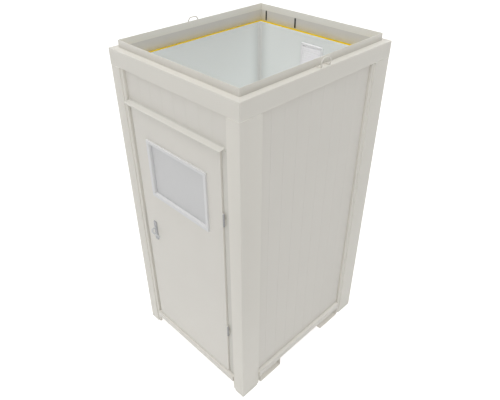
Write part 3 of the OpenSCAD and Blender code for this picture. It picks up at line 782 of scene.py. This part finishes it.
# The seal's pale grey is painted light in the gap round the leaf.
lofted("door_seal", [
    [Vector((rebate_left + u, y, rebate_foot)) for u, y in seal_section],
    [Vector((rebate_left + u, y, rebate_top - u)) for u, y in seal_section],
    [Vector((rebate_right - u, y, rebate_top - u)) for u, y in seal_section],
    [Vector((rebate_right - u, y, rebate_foot)) for u, y in seal_section],
], rubber("door_seal_light_rubber", (196, 194, 188)), "cabin", "seal_rubber", closed=False)


# ---- Rain drip ----
# A strip of sheet steel folded to a sloping hood with a turned-down lip, blind-riveted to the wall over
# the door.

drip_enamel, drip_edge = enamel("drip_enamel", (217, 215, 208)), 0.0005
eased("folded_", drip_enamel, drip_edge, "rain_drip")

drip_low, drip_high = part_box("rain_drip")
rivet_count, rivet_r, rivet_h = 7, 0.0036, 0.0014
rivet_z = drip_high.z - 0.006
rivet_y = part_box("outer_skin_front")[0].y - 0.0018
rivet_inset = 0.03
rivet_step = (drip_high.x - drip_low.x - 2 * rivet_inset) / (rivet_count - 1)
rivets = [(drip_low.x + rivet_inset + i * rivet_step, rivet_y, rivet_z) for i in range(rivet_count)]
heads("drip_rivets", rivets, rivet_r, rivet_h, False, to_front, drip_enamel, "cabin", "door_frame_paint")


# ---- Door leaf ----
# A pressed steel leaf, 40 mm thick: two skins folded over a foam core, with a fine seam round its
# narrow sides, an opening for the window and a lock plate let into its free edge.

leaf_rect = upright(leaf_low, leaf_high)
window_low, window_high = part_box("window_frame")
window_rect = upright(window_low, window_high)
window_lap = 0.015
window_hole = shrunk(window_rect, window_lap)
leaf_edge = 0.0022
seam_y = leaf_low.y + 0.026
seam_half, seam_depth = 0.0006, 0.0012
in_seam = shrunk(leaf_rect, seam_depth)
stations = rounded_edge(leaf_rect, leaf_low.y, leaf_edge, 1, leaving=True)
stations += [
    (leaf_rect, seam_y - seam_half), (in_seam, seam_y - seam_half),
    (in_seam, seam_y + seam_half), (leaf_rect, seam_y + seam_half),
]
stations += rounded_edge(leaf_rect, leaf_high.y, leaf_edge, -1)
stations += [(window_hole, leaf_high.y), (window_hole, leaf_low.y)]
door_enamel = enamel("door_enamel", (221, 218, 211), shade_amount=0.05)
loops = [rectangle(r, y) for r, y in stations]
lofted("leaf_skins", loops, door_enamel, "door", "door_paint", "door_leaf")

satin_aluminium = zinc("satin_aluminium", (168, 168, 170), 0.38, 0.25)
plates_low, plates_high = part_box("handle_plates")
lock_half_h, lock_half_w, lock_proud, lock_y = 0.11, 0.01, 0.0004, seam_y - 0.014
lock_z = (plates_low.z + plates_high.z) / 2
loops = []
for out, bevel in ((-0.001, 0.0), (lock_proud - 0.0002, 0.0), (lock_proud, 0.0003)):
    w, h = lock_half_w - bevel, lock_half_h - bevel
    loops.append([
        Vector((leaf_low.x - out, lock_y + y, lock_z + z)) for y, z in ((-w, -h), (w, -h), (w, h), (-w, h))
    ])
lofted("lock_plate", loops, satin_aluminium, "door", "handle_metal", closed=False)


# ---- Window ----
# A fixed light of pale grey plastic profile clamped through the leaf, with rounded edges, a deep
# reveal, and a slim grey gasket on a sheet of frosted safety glass.

window_plastic = moulded("window_profile_plastic", (219, 219, 219), 0.4)
window_border = 0.026
pane_low, pane_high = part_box("window_pane")
profile_edge, reveal_edge, back_edge = 0.003, 0.008, 0.0015
front_y, back_y = window_low.y, window_high.y
reveal = shrunk(window_rect, window_border)
bead_step, bead_y = 0.0012, front_y + 0.011
glazed = shrunk(reveal, bead_step)
stations = [(window_hole, leaf_low.y), (window_rect, leaf_low.y)]
stations += rounded_edge(window_rect, front_y, profile_edge, 1)
for i in range(5):
    angle = math.radians(90 * i / 4)
    stations.append((
        shrunk(reveal, -reveal_edge * (1 - math.sin(angle))), front_y + reveal_edge * (1 - math.cos(angle)),
    ))
stations += [
    (reveal, bead_y - 0.0004), (shrunk(reveal, -0.0006), bead_y), (glazed, bead_y + 0.0006),
    (glazed, pane_low.y), (glazed, pane_high.y),
    (shrunk(reveal, 0.0002), back_y - back_edge), (shrunk(reveal, -back_edge), back_y),
]
stations += rounded_edge(window_rect, back_y, back_edge, -1, leaving=True)
stations += [(window_rect, leaf_high.y), (window_hole, leaf_high.y)]
loops = [rectangle(r, y) for r, y in stations]
lofted("window_profile", loops, window_plastic, "door", "window_plastic", "window_frame")

gasket_w, gasket_t, gasket_flat = 0.0045, 0.0025, 0.0012
gasket_rubber = moulded("gasket_rubber", (196, 196, 197), 0.6)
bm = bmesh.new()
for pane_y, inward in ((pane_low.y, -1), (pane_high.y, 1)):
    proud_y = pane_y + inward * gasket_t
    loft(bm, [rectangle(r, y) for r, y in (
        (glazed, pane_y), (glazed, proud_y), (shrunk(glazed, gasket_flat), proud_y),
        (shrunk(glazed, gasket_w * 0.8), pane_y + inward * gasket_t * 0.6),
        (shrunk(glazed, gasket_w), pane_y),
    )], closed=True)
keep(piece_from("window_gaskets", bm, gasket_rubber), "door", "window_plastic")


def frosted_glass(name):
    """Acid-etched glass over a pale backing: dull, with a very fine tooth."""
    finish, tree, shader, place = new_finish(name)
    cloud = tinted(tree, noise(tree, place, 3, 2), (206, 206, 206), (209, 209, 209))
    tree.links.new(cloud, shader.inputs["Base Color"])
    roughened(tree, shader, noise(tree, place, 30, 3), 0.5, 0.62)
    bumped(tree, shader, noise(tree, place, 1400, 2), 0.00003)
    return finish


finish_nodes(frosted_glass("frosted_glass"), "window_pane")


# ---- Hinges ----
# Weld-on barrel hinges of zinc-plated steel: the lower barrel with its pin is welded to the jamb, the
# upper one to the leaf, and a thin washer runs between them.

def turned(bm, profile, place, sides=32):
    """A turned shape from (radius, height) steps along the local Z axis of place."""
    rings = []
    for radius, height in profile:
        rings.append([
            place @ Vector((radius * math.cos(a), radius * math.sin(a), height))
            for a in (2 * math.pi * i / sides for i in range(sides))
        ])
    loft(bm, rings)


def block(bm, low, high, edge=0.0008):
    """An upright bar with rounded long edges, from its low to its high corner."""
    section = rectangle((low[0], high[0], low[1], high[1]), 0, edge, 3)
    loft(bm, [[Vector((p.x, p.z, z)) for p in section] for z in (low[2], high[2])])


hinge_zinc = zinc("hinge_zinc", (158, 158, 159), 0.42, 0.15)
hinge_joint = next(j for j in frame["record"]["behaviour"]["joints"] if j["name"] == "door_hinge")
axis_x, axis_y = hinge_joint["pos_m"][:2]
fixed_low, fixed_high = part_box("hinge_frame_halves")
moving_low, moving_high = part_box("hinge_door_halves")
barrel_r = fixed_high.x - axis_x
half_barrel = moving_low.z - fixed_low.z
half_gap, chamfer, groove_h, cap_h, pin_r = 0.0008, 0.0009, 0.0026, 0.0022, 0.0039
cap_r = barrel_r - 0.0012
barrel = [
    (barrel_r - chamfer, half_gap), (barrel_r, half_gap + chamfer),
    (barrel_r, half_barrel - groove_h - chamfer), (barrel_r - chamfer, half_barrel - groove_h),
    (cap_r, half_barrel - cap_h), (cap_r - chamfer, half_barrel - 0.0006),
    (barrel_r - 3.5 * chamfer, half_barrel),
]
washer = [(barrel_r - 0.0006, -0.0007), (barrel_r, -0.0004), (barrel_r, 0.0004), (barrel_r - 0.0006, 0.0007)]
strap_near, strap_far, strap_bite, bead_near, bead_far, bead_bite = 0.002, 0.004, 0.0002, 0.004, 0.006, 0.0004
bracket_half, bracket_bead, hinge_bead = 0.0042, 0.0048, 0.0012
bead_x, bead_y = leaf_high.x + 0.0008, leaf_low.y - 0.0002
fixed, moving, washers, straps, brackets = [bmesh.new() for _ in range(5)]
leaf_runs, jamb_runs = [], []
for middle in (moving_low.z, moving_high.z - half_barrel):
    at_axis = Matrix.Translation((axis_x, axis_y, middle))
    foot, head = middle - half_barrel, middle + half_barrel
    turned(fixed, [(radius, -height) for radius, height in barrel[::-1]], at_axis)
    turned(fixed, [(pin_r, -half_barrel + 0.01), (pin_r, half_barrel - 0.006)], at_axis, 20)
    turned(moving, barrel, at_axis)
    turned(washers, washer, at_axis)
    block(
        straps, (leaf_high.x - strap_bite, leaf_low.y, middle + strap_near),
        (axis_x, moving_high.y, head - strap_far),
    )
    block(
        brackets, (axis_x - bracket_half, axis_y, foot + strap_far),
        (axis_x + bracket_half, fixed_high.y, middle - strap_near),
    )
    leaf_runs.append([(bead_x, bead_y, z) for z in (middle + bead_near, head - bead_far)])
    for x in (axis_x - bracket_bead, axis_x + bracket_bead):
        jamb_runs.append([(x, fixed_high.y - bead_bite, z) for z in (foot + bead_far, middle - bead_near)])
keep(piece_from("hinge_lower_barrels", fixed, hinge_zinc), "cabin", "hinge_steel", "hinge_frame_halves")
keep(piece_from("hinge_upper_barrels", moving, hinge_zinc), "door", "hinge_steel", "hinge_door_halves")
keep(piece_from("hinge_straps", straps, door_enamel), "door", "door_paint")
keep(piece_from("hinge_brackets", brackets, door_frame_shaded_enamel), "cabin", "door_frame_paint")
keep(piece_from("hinge_washers", washers, screw_zinc), "cabin", "hinge_steel")
beads("welds_hinges_leaf", leaf_runs, hinge_bead, door_enamel, "door", "door_paint")
beads("welds_hinges_jamb", jamb_runs, hinge_bead, door_frame_shaded_enamel, "cabin", "door_frame_paint")


# ---- Handle ----
# A lever set of satin aluminium on each side of the leaf: a long rounded plate with a cylinder lock
# under the lever, held by two screws, and a lever bent from round bar with a thick neck.

def leaving_leaf(place, outward):
    """A place whose Z axis points away from the leaf: outward is -1 to the front and 1 to the room."""
    return Matrix.Translation(place) @ Matrix.Rotation(math.radians(-90 * outward), 4, "X")


plate_rect = upright(plates_low, plates_high)
plate_x = sum(plate_rect[:2]) / 2
plate_t, plate_edge, plate_corner = 0.007, 0.0022, 0.008
faces = ((leaf_low.y, -1), (leaf_high.y, 1))
lock_drop = 0.0583
keyway_z = lock_z - lock_drop
lock_ring = [(0.0095, -0.001), (0.0095, 0.0022), (0.0088, 0.003), (0.0064, 0.003), (0.006, 0.0018)]
lock_plug = [(0.0056, 0.0), (0.0056, 0.0024), (0.0052, 0.0027)]
keyway = [
    (-0.0005, -0.0032), (0.0009, -0.0028), (0.0005, 0.0),
    (0.0009, 0.0028), (-0.0005, 0.0032), (-0.0009, 0.0),
]
plates, keyways = bmesh.new(), bmesh.new()
for base_y, outward in faces:
    face_y = base_y + outward * plate_t
    stations = [(plate_rect, base_y)] + rounded_edge(plate_rect, face_y, plate_edge, -outward)
    loft(plates, [rectangle(r, y, plate_corner - (r[0] - plate_rect[0]), 6) for r, y in stations])
    at_lock = leaving_leaf((plate_x, face_y, keyway_z), outward)
    turned(plates, lock_ring, at_lock)
    turned(plates, lock_plug, at_lock)
    slot_y = face_y + outward * 0.00275
    loft(keyways, [
        [Vector((at_lock.translation.x + x, y, keyway_z + z)) for x, z in keyway]
        for y in (slot_y - outward * 0.001, slot_y)
    ])
keep(piece_from("handle_backplates", plates, satin_aluminium), "door", "handle_metal", "handle_plates")
# The keyways are black slivers on the plugs, not cut slots: painted shade for the holes.
keep(piece_from("handle_keyways", keyways, rubber("keyway_painted_shade", (30, 30, 31), 0.5)), "door", "handle_metal")
screw_r, screw_h, screw_inset = 0.0036, 0.0009, 0.012
for side, (base_y, outward), facing in (("outer", faces[0], to_front), ("room", faces[1], to_back)):
    face_y = base_y + outward * plate_t
    screws = [(plate_x, face_y, z) for z in (plate_rect[2] + screw_inset, plate_rect[3] - screw_inset)]
    heads(f"handle_screws_{side}", screws, screw_r, screw_h, True, facing, screw_zinc, "door", "handle_metal")

lever_joint = next(j for j in frame["record"]["behaviour"]["joints"] if j["name"] == "lever_turn")
spindle = Vector(lever_joint["pos_m"])
grip_r, neck_r, grip_bend, grip_out = 0.0065, 0.009, 0.012, 0.0395
lever_low, lever_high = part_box("door_lever")
grip_end = lever_high.x - 0.0085
drop_z = lever_low.z + grip_r
tip_turn, tip_run = math.radians(24), 0.003
rubbed_aluminium = zinc("rubbed_aluminium", (186, 188, 188), 0.34, 0.2)
bars, collars = [], bmesh.new()
leaf_middle = (leaf_low.y + leaf_high.y) / 2
for outward in (-1, 1):
    base_y = leaf_middle + outward * (leaf_high.y - leaf_low.y) / 2
    grip_y = base_y + outward * grip_out
    tip_y = grip_y - outward * tip_run * math.sin(tip_turn)
    tip = Vector((grip_end + tip_run * math.cos(tip_turn), tip_y, drop_z))
    bars.append([
        (spindle.x, base_y, spindle.z), (spindle.x, grip_y, spindle.z), (spindle.x, grip_y, drop_z),
        (grip_end, grip_y, drop_z), tuple(tip),
    ])
    turned(collars, [
        (neck_r, 0.0), (neck_r, plate_t + 0.0065), (neck_r - 0.0006, plate_t + 0.0078),
        (neck_r - 0.0018, plate_t + 0.0094), (grip_r - 0.0001, plate_t + 0.0112),
    ], leaving_leaf((spindle.x, base_y, spindle.z), outward))
    towards_tip = Vector((math.cos(tip_turn), -outward * math.sin(tip_turn), 0))
    turned(collars, [
        (grip_r - 0.0002, -0.001), (grip_r + 0.0002, 0.0005), (grip_r - 0.0001, 0.002),
        (grip_r - 0.0012, 0.0034), (grip_r - 0.003, 0.0043), (grip_r - 0.0055, 0.0046),
    ], Matrix.Translation(tip) @ towards_tip.to_track_quat("Z", "Y").to_matrix().to_4x4(), 24)
square_half, square_r = 0.025, 0.004
square_foot = leaving_leaf((spindle.x, leaf_middle - square_half, spindle.z), 1)
turned(collars, [(square_r, 0), (square_r, 2 * square_half)], square_foot, 4)
bent = bent_bars("lever_bars", bars, rubbed_aluminium, grip_r, grip_bend, 24)
collars.from_mesh(bent.data)
bpy.data.objects.remove(bent)
keep(piece_from("lever_set", collars, rubbed_aluminium, 50), "lever", "handle_metal", "door_lever")


# ---- Lifting eyes ----
# One loop of round bar on each long side, bent to a trapezoid with both feet turned in to the rim,
# welded flat on the roof flange and painted with the frame.

eyes_low, eyes_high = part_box("lifting_eyes")
bar_r, eye_bend, eye_bead = 0.004, 0.011, 0.0016
eye_x = eyes_high.x - bar_r
flange_z = eyes_low.z
foot_half, shoulder_half, top_half, shoulder_up = 0.0395, 0.044, 0.025, 0.038
rim_x = rim_inner.x + 0.0035
left_eye_y, right_eye_y = eyes_low.y + shoulder_half + bar_r, eyes_high.y - shoulder_half - bar_r
eye_runs, foot_beads = [], []
for x, middle_y in ((-eye_x, left_eye_y), (eye_x, right_eye_y)):
    foot_x = rim_x if x > 0 else -rim_x
    foot_z, top_z = flange_z + bar_r, eyes_high.z - bar_r
    eye_runs.append([
        (foot_x, middle_y - foot_half, foot_z), (x, middle_y - foot_half, foot_z),
        (x, middle_y - shoulder_half, flange_z + shoulder_up), (x, middle_y - top_half, top_z),
        (x, middle_y + top_half, top_z), (x, middle_y + shoulder_half, flange_z + shoulder_up),
        (x, middle_y + foot_half, foot_z), (foot_x, middle_y + foot_half, foot_z),
    ])
    for y in (middle_y - foot_half, middle_y + foot_half):
        for beside in (-bar_r * 0.8, bar_r * 0.8):
            foot_beads.append([(end_x, y + beside, flange_z + 0.0008) for end_x in (foot_x, x * 0.985)])
eyes = bent_bars("lifting_loops", eye_runs, frame_enamel, bar_r, eye_bend, 20)
keep(eyes, "cabin", "eye_steel", "lifting_eyes")
beads("welds_lifting_eyes", foot_beads, eye_bead, frame_enamel, "cabin", "frame_paint")


# ---- Roof seals ----
# Short upright strips of black rubber on the back rim, where the roof's cover presses. They are a little
# dusty, and their cut edges are rounded.

seal_edge = 0.0006
eased("rubber_", rubber("seal_rubber", (34, 34, 32)), seal_edge, "roof_seals")
